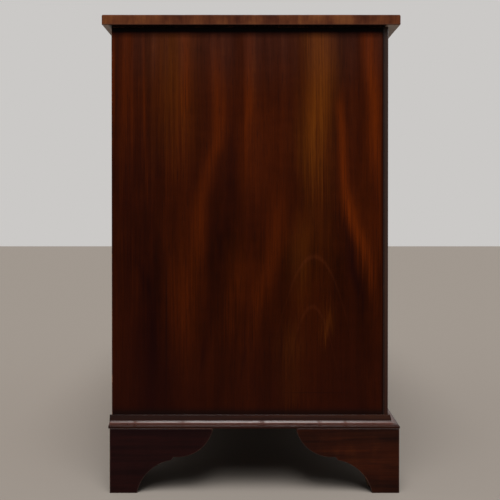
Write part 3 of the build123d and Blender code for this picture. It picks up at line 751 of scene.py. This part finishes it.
# Woods are given the axes along, across and through their grain, and a seed
finishes = {
    "end": figuredEnd("figuredEnd", 0.0),
    "otherEnd": figuredEnd("figuredOtherEnd", 5.0),
    "top": bandedTop("bandedTop"),
    "upright": lippedMahogany("uprightMahogany"),
    "rail": mahogany("railMahogany", "x", "z", "y", 29.0, lift=0.05, warmth=0.3),
    "front": mahogany(
        "frontMahogany", "x", "z", "y", 37.0, lift=0.04, warmth=0.75, ribbon=34.0, run=2.4,
        drift=0.07
    ),
    # The moulding's pale band along its lip is a painted highlight
    "moulding": mahogany(
        "mouldingMahogany", "x+y", "z", "none", 47.0, "foot", lift=0.05, gloss=0.20, sheen=0.11,
        relief=0.04, uneven=0.15, wornAndPaintedHighlight=(0.1140, 0.0020, 0.30)
    ),
    # The cockbeads take the paler edge tones as a painted highlight, so they read as thin light
    # lines
    "cockbead": mahogany(
        "cockbeadMahogany", "x+z", "y", "none", 71.0, "edge", lift=-0.22, gloss=0.24, sheen=0.20,
        relief=0.3
    ),
    "foot": mahogany(
        "footMahogany", "x+y", "z", "none", 59.0, "foot", lift=-0.05, warmth=0.2, ribbon=90.0,
        run=3.5
    ),
    "rearFoot": mahogany(
        "rearFootMahogany", "x+y", "z", "none", 62.0, "rearFoot", lift=-0.12, ribbon=70.0, run=3.0
    ),
    "oakSide": plainWood("oakLining", "oak", "x+y", "z", "none", 7.0),
    "oakBoard": plainWood("oakBoard", "oak", "x", "y", "z", 13.0),
    "oakRunner": plainWood("oakRunner", "oak", "y", "x", "z", 19.0, stain=0.7),
    "pineBack": plainWood(
        "pineBack", "back", "z", "x", "y", 27.0, ribbon=34.0, knots=0.75, stain=0.6, board=0.2111
    ),
    "pineBoard": plainWood(
        "pineBoard", "pine", "x", "y", "z", 33.0, ribbon=34.0, knots=0.6, stain=0.8
    ),
    "pineUnder": plainWood(
        "pineUnder", "under", "x", "y", "z", 35.0, ribbon=34.0, knots=0.4, stain=0.9
    ),
    "pineBlock": plainWood("pineBlock", "under", "z", "x", "y", 39.0, ribbon=44.0, stain=0.8),
    "brass": agedBrass("agedBrass", 4.0),
    "steel": oldSteel("oldSteel"),
    "arris": wornArris(
        "rubbedArris", 2.0, (52, 24, 15), (128, 82, 52), joint=endFigure["lippingJoint"][0]
    ),
    "softArris": wornArris("softArris", 8.0, (44, 20, 13), (96, 56, 36), share=0.56),
    "darkArris": wornArris("darkArris", 15.0, (48, 32, 20), (104, 74, 46)),
    "paleArris": wornArris("paleArris", 12.0, (132, 98, 62), (176, 144, 104)),
}
print("Finishes made:", len(finishes))

# Pieces


def pieceName(node):
    first, *others = node.split("_")
    return first + "".join(word.capitalize() for word in others)


def place(mesh, node, materials):
    piece = added(pieceName(node), mesh)
    for key in materials:
        mesh.materials.append(finishes[key])
    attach(piece, bodyOf[node])
    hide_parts(node)
    return piece


def shade(mesh):
    mesh.polygons.foreach_set("use_smooth", np.full(len(mesh.polygons), True))


def keepFlat(piece):
    weighted = piece.modifiers.new("flatFaces", "WEIGHTED_NORMAL")
    weighted.weight = 90


def wholeSolids(mesh):
    # The corners and triangles of each closed solid of a node. Its triangles come solid by solid,
    # and a solid is whole when each of its edges has been met twice.
    shape = bmesh.new()
    shape.from_mesh(mesh)
    shape.verts.ensure_lookup_table()
    shape.verts.index_update()
    found = bmesh.ops.find_doubles(shape, verts=shape.verts, dist=0.000004)["targetmap"]
    same = np.arange(len(shape.verts))
    for double, kept in found.items():
        same[double.index] = kept.index
    shape.free()
    corners = np.empty(len(mesh.vertices) * 3, np.float32)
    mesh.vertices.foreach_get("co", corners)
    loops = np.empty(len(mesh.loops), np.int32)
    mesh.loops.foreach_get("vertex_index", loops)
    triangles = same[loops].reshape(-1, 3)
    triangles = triangles[(triangles != np.roll(triangles, 1, axis=1)).all(axis=1)]
    metOnce, start, solids = set(), 0, []
    for index, (a, b, c) in enumerate(triangles.tolist()):
        for edge in ((a, b), (b, c), (c, a)):
            metOnce ^= {(min(edge), max(edge))}
        if not metOnce:
            solids.append(triangles[start : index + 1])
            start = index + 1
    if start < len(triangles):
        solids.append(triangles[start:])
    return corners.reshape(-1, 3), solids


def softened(node, materials, width):
    # A merged copy of a node with its flat faces whole and its arrises bevelled
    corners, solids = wholeSolids(nodes[node].data)
    shape = bmesh.new()
    for triangles in solids:
        used, faces = np.unique(triangles, return_inverse=True)
        points = [shape.verts.new(corner) for corner in corners[used].tolist()]
        for face in faces.reshape(-1, 3).tolist():
            shape.faces.new([points[k] for k in face])
    shape.normal_update()
    bmesh.ops.dissolve_limit(
        shape, angle_limit=math.radians(0.1), verts=shape.verts, edges=shape.edges
    )
    mesh = bpy.data.meshes.new(pieceName(node))
    shape.to_mesh(mesh)
    shape.free()
    shade(mesh)
    piece = place(mesh, node, materials)
    bevel = piece.modifiers.new("arrises", "BEVEL")
    bevel.width = width
    bevel.segments = 2
    bevel.limit_method = "ANGLE"
    bevel.angle_limit = math.radians(40.0)
    bevel.use_clamp_overlap = True
    if len(materials) > 1:
        bevel.material = 1
    keepFlat(piece)


def roundedOutline(points, radius, steps=4):
    # Each corner becomes a short curve between the places a radius away along its two edges:
    # (1 - t)^2 of the first, 2t(1 - t) of the corner and t^2 of the second
    corner = np.array(points, float)
    away = []
    for shift in (1, -1):
        edge = np.roll(corner, shift, axis=0) - corner
        length = np.linalg.norm(edge, axis=1, keepdims=True)
        away.append((corner + edge / length * np.minimum(radius, 0.45 * length))[:, None])
    t = np.linspace(0.0, 1.0, steps + 1)[None, :, None]
    curve = (1 - t) ** 2 * away[0] + 2 * t * (1 - t) * corner[:, None] + t**2 * away[1]
    return curve.reshape(-1, 2)


def gridMesh(name, grid, caps="flat"):
    # Rows of points, each row a ring; caps are flat faces at the first and last ring, or single
    # points where the first and last rows have shrunk to one
    rows, columns = grid.shape[:2]
    i = np.arange(rows - 1)[:, None] * columns
    j = np.arange(columns)[None, :]
    after = (j + 1) % columns
    quads = np.stack([i + j, i + after, i + columns + after, i + columns + j], axis=-1)
    faces = quads.reshape(-1, 4).tolist()
    if caps == "flat":
        faces += [list(range(columns))[::-1], list(range((rows - 1) * columns, rows * columns))]
    mesh = bpy.data.meshes.new(name)
    mesh.from_pydata(grid.reshape(-1, 3).tolist(), [], faces)
    shape = bmesh.new()
    shape.from_mesh(mesh)
    bmesh.ops.remove_doubles(shape, verts=shape.verts, dist=0.0000005)
    bmesh.ops.recalc_face_normals(shape, faces=shape.faces)
    shape.to_mesh(mesh)
    shape.free()
    shade(mesh)
    return mesh


def dents(places, marks):
    # Sum of bells over the places: each mark is a bell's middle, width and depth
    middles, widths, depths = np.array(marks).T
    return (np.exp(-(((places[..., None] - middles) / widths) ** 2)) * depths).sum(axis=-1)


topBoard = {
    "edge": 0.0022,
    "edgeRings": 7,
    "corner": 0.0030,
    "cornerSteps": 6,
    "spacing": 0.004,
    "wave": 0.00022,
    # Places along 3x + y, half widths and depths
    "dents": (
        (-1.33, 0.004, 0.0006), (-1.21, 0.006, 0.0004), (-1.408, 0.003, 0.0007),
        (1.12, 0.006, 0.0005), (1.31, 0.004, 0.0006), (1.45, 0.005, 0.0004),
    ),
}


def makeTop():
    # Rings round the board, rising from the underside over the edge to the upper face. A ring is
    # a rectangle with round corners, and is drawn in by the edge's rounding, a quarter circle
    # below and above. The edge waves by a few tenths of a millimetre, as two sines along a
    # slanting line.
    settings = topBoard
    (left, front, low), (right, back, high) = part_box("top_board")
    r, e = settings["corner"], settings["edge"]
    wide, deep = (right - left) / 2 - r, (back - front) / 2 - r
    middle = np.array([(left + right) / 2, (front + back) / 2])
    alongX = np.linspace(-1.0, 1.0, int(2 * wide / settings["spacing"]))
    alongY = np.linspace(-1.0, 1.0, int(2 * deep / settings["spacing"]))
    bend = np.linspace(0.0, math.pi / 2, settings["cornerSteps"])[1:-1, None]
    base, out = [], []
    for quarter in range(4):
        angle = quarter * math.pi / 2
        side = np.array([math.cos(angle), math.sin(angle)])
        ahead = np.array([-side[1], side[0]])
        reach, run, line = (wide, deep, alongY) if quarter % 2 == 0 else (deep, wide, alongX)
        base.append(side * reach + ahead * run * line[:, None])
        out.append(np.tile(side, (len(line), 1)))
        base.append(np.tile(side * reach + ahead * run, (len(bend), 1)))
        out.append(side * np.cos(bend) + ahead * np.sin(bend))
    base, out = np.concatenate(base), np.concatenate(out)
    turn = np.linspace(0.0, math.pi / 2, settings["edgeRings"])
    growing, shrinking = e * (1 - np.cos(turn)), e * (1 - np.sin(turn))
    inset = np.concatenate([[r], shrinking, growing, [r]])
    height = np.concatenate([[low], low + growing, high - shrinking, [high]])
    s = base[:, 0] * 23.0 + base[:, 1] * 31.0
    wave = settings["wave"] * (1 + np.sin(s) * 0.6 + np.sin(2.7 * s + 1.0) * 0.4)
    wave = wave + dents(base[:, 1] + base[:, 0] * 3.0, settings["dents"])
    drawn = inset[:, None] + wave * (inset[:, None] < r)
    plan = base + out * (r - drawn[..., None]) + middle
    rise = np.repeat(height[:, None], len(base), axis=1)[..., None]
    grid = np.concatenate([plan, rise], axis=-1)
    keepFlat(place(gridMesh("topBoard", grid), "top_board", ["top"]))


baseMoulding = {
    # Offset out of the case and height above the feet, in millimetres, from the inner corner
    "ledge": ((0, 0), (0, 19), (3.0, 19), (3.1, 17.7), (4.4, 12.4)),
    "cove": ((4.7, 10.0), (7.3, 6.1), (9.6, 5.7), (12.2, 5.4)),
    "step": ((13.9, 5.3), (13.9, 4.0), (16.5, 4.0), (16.5, 0)),
    "arris": 0.85,
    "rows": 300,
    # From here on in metres
    "caseHalf": 0.430,
    "caseFront": -0.227,
    "wave": 0.00002,
    "lip": (0.0055, 0.0035),  # height and half width of the lip that is worn
    "least": 0.001,  # offset from which the moulding is worn
    # Place along the side, half width and depth
    "chips": (
        (-0.016, 0.0016, 0.0011), (-0.113, 0.0014, 0.0009), (-0.158, 0.0030, 0.0006),
        (0.119, 0.0040, 0.0005), (0.198, 0.0028, 0.0006),
    ),
}


def makeMoulding(node, side):
    # A moulded outline carried along a side of the case. Each point of the outline starts at the
    # mitre, where its place along the side equals its offset out of the case. Two sines along the
    # side and small chips, as bells, draw the lip below the cove inwards away from the mitres.
    settings = baseMoulding
    outline = [*settings["ledge"], *settings["cove"], *settings["step"]]
    outward, height = roundedOutline(outline, settings["arris"]).T / 1000.0
    low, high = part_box(node)
    half, front = settings["caseHalf"], settings["caseFront"]
    run = np.linspace(0.0, 1.0, settings["rows"])[:, None]
    if side:
        start, end = front - outward, high[1]
    else:
        start, end = -half - outward, half + outward
    along = start + (end - start) * run
    wornAndPaintedHighlight = outward > settings["least"]
    lip = np.exp(-(((height - settings["lip"][0]) / settings["lip"][1]) ** 2)) * wornAndPaintedHighlight
    chips = dents(along, settings["chips"])
    wave = settings["wave"] * (np.sin(along * 41.0) + np.sin(along * 97.0 + 2.0) + 2.0) / 2
    mitres = (run > 0.03) & ((run < 0.97) | bool(side))  # a side's far end has no mitre
    drawn = outward - (chips * lip + wave * (lip > 0.2)) * wornAndPaintedHighlight * mitres
    z = low[2] + height + 0 * along
    if side:
        grid = np.stack([side * (half + drawn), along, z], axis=-1)
    else:
        grid = np.stack([along, front - drawn, z], axis=-1)
    keepFlat(place(gridMesh(pieceName(node), grid), node, ["moulding"]))


bail = {
    "hinge": 0.0386,  # above its lowest point
    "shoulder": 0.0434,
    "pin": 0.0374,
    "pinRadius": 0.0015,
    "chamfer": 0.0003,
    "inset": 0.0004,
    "radius": 0.0024,
    # Least radius at a neck, the neck's place from the end and its half width
    "neck": (0.0018, 0.030, 0.014),
    # Radius at the middle of the grip, its half width and its highest level
    "grip": (0.0031, 0.017, -0.03),
    "bends": (
        (0.0444, 0.0), (0.0499, -0.0007), (0.0494, -0.0140),
        (0.0350, -0.0205), (0.0300, -0.0345), (0.0120, -0.0360),
    ),
    "rounds": 4,
    "rows": 150,
    "columns": 20,
}


def cutCorners(points, rounds):
    # Each round puts two points on each edge, a quarter from its ends, and keeps the end points
    for _ in range(rounds):
        first, second = points[:-1], points[1:]
        cut = np.stack([0.75 * first + 0.25 * second, 0.25 * first + 0.75 * second], axis=1)
        points = np.concatenate([points[:1], cut.reshape(-1, points.shape[1]), points[-1:]])
    return points


def makeBail(node):
    # A tube round a smooth swan-necked line in the plane of the handle. Its radius is the pin's
    # at the ends, the shoulder's next to the posts, least at the necks and swells at the grip as
    # a bell of the distance from the middle.
    settings = bail
    low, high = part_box(node)
    middle, y = (low[0] + high[0]) / 2, (low[1] + high[1]) / 2
    hinge = low[2] + settings["hinge"]
    pin, shoulder, inset = settings["pin"], settings["shoulder"], settings["inset"]
    half = np.array([(shoulder, 0.0), *settings["bends"]])
    line = cutCorners(np.concatenate([half, half[::-1] * (-1, 1)]), settings["rounds"])
    length = np.concatenate([[0], np.cumsum(np.linalg.norm(np.diff(line, axis=0), axis=1))])
    even = np.linspace(0, length[-1], settings["rows"])
    line = np.stack([np.interp(even, length, line[:, k]) for k in (0, 1)], axis=1)
    ahead = np.gradient(line, axis=0)
    ahead /= np.linalg.norm(ahead, axis=1, keepdims=True)
    plain = settings["radius"]
    neck, neckPlace, neckWidth = settings["neck"]
    grip, gripWidth, gripLevel = settings["grip"]
    fromEnd = np.minimum(even, length[-1] - even)
    radius = plain + (neck - plain) * np.exp(-(((fromEnd - neckPlace) / neckWidth) ** 2))
    swell = (grip - plain) * np.exp(-((line[:, 0] / gripWidth) ** 2))
    radius = radius + swell * (line[:, 1] < gripLevel)
    thin, chamfer = settings["pinRadius"], settings["chamfer"]
    pinLine = np.array([(pin, 0), (pin, 0), (pin + chamfer, 0), (shoulder, 0), (shoulder, 0)])
    pinRadius = np.array([0.0, thin - chamfer, thin, thin, plain - inset])
    line[0] += (inset, 0)
    line[-1] -= (inset, 0)
    line = np.concatenate([pinLine, line, pinLine[::-1] * (-1, 1)])
    radius = np.concatenate([pinRadius, radius, pinRadius[::-1]])
    level = np.tile((1.0, 0.0), (len(pinLine) + 1, 1))
    ahead = np.concatenate([level, ahead[1:-1], level])
    turn = np.linspace(0, 2 * math.pi, settings["columns"], endpoint=False)
    side = np.stack([-ahead[:, 1], ahead[:, 0]], axis=1)[:, None]
    flat = line[:, None] + side * (radius[:, None] * np.cos(turn))[..., None]
    depth = y + radius[:, None] * np.sin(turn)
    grid = np.stack([middle + flat[..., 0], depth, hinge + flat[..., 1]], axis=-1)
    place(gridMesh(pieceName(node), grid, caps="points"), node, ["brass"])


makeTop()
makeMoulding("base_moulding_front", 0)
makeMoulding("base_moulding_left", -1)
makeMoulding("base_moulding_right", 1)
print("Top and mouldings made")

ends = ("left", "right")
# The finish of each piece, the finish of its arrises and the width that they are bevelled
softPieces = {
    "side_panel_left": (("end", "arris"), 0.0009),
    "side_panel_right": (("otherEnd", "arris"), 0.0009),
    "front_lippings": (("upright", "softArris"), 0.0006),
    **{f"drawer_rail_{k}": (("rail", "softArris"), 0.0005) for k in ("lower", "middle", "upper")},
    "bottom_rail": (("rail", "softArris"), 0.0006),
    "top_rails": (("rail",), 0.0004),
    "bottom_board": (("pineUnder",), 0.0005),
    "top_kickers": (("pineBoard",), 0.0005),
    "drawer_runners": (("oakRunner",), 0.0005),
    "dustboards": (("oakBoard",), 0.0003),
    "drawer_stops": (("oakRunner",), 0.0004),
    "back_boards": (("pineBack", "darkArris"), 0.0016),
    **{f"front_foot_{end}": (("foot", "softArris"), 0.0009) for end in ends},
    **{f"rear_foot_{end}": (("rearFoot", "softArris"), 0.0009) for end in ends},
    "foot_blocks": (("pineBlock", "darkArris"), 0.0012),
}
for node, settings in softPieces.items():
    softened(node, *settings)
print("Carcass pieces made:", len(softPieces))

drawerPieces = {
    "front": (("front", "softArris"), 0.0003),
    "cockbead": (("cockbead", "softArris"), 0.0002),
    "linings": (("oakSide", "paleArris"), 0.0003),
    "bottom": (("oakBoard",), 0.0003),
    "lock": (("brass",), 0.0002),
    "bolt": (("brass",), 0.0003),
    "handle_fittings": (("brass",), 0.0002),
}
for name in ("top", "second", "third", "bottom"):
    for part, settings in drawerPieces.items():
        softened(f"{name}_drawer_{part}", *settings)
    for end in ends:
        makeBail(f"{name}_drawer_bail_{end}")
    print("Drawer made:", name)

screws = nodes["top_screws"].data
screws.materials.clear()
screws.materials.append(finishes["steel"])

# Keys and fills light the chest alone and the floor has its own light from above, so it keeps the
# one soft shadow that the photograph has
chest = bpy.data.collections.new("chest")
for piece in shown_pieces():
    chest.objects.link(piece)
ground = bpy.data.collections.new("ground")
ground.objects.link(floor)
for lamps, lit in ((keys + fills, chest), (floorLights, ground)):
    for lamp in lamps:
        lamp.light_linking.receiver_collection = lit
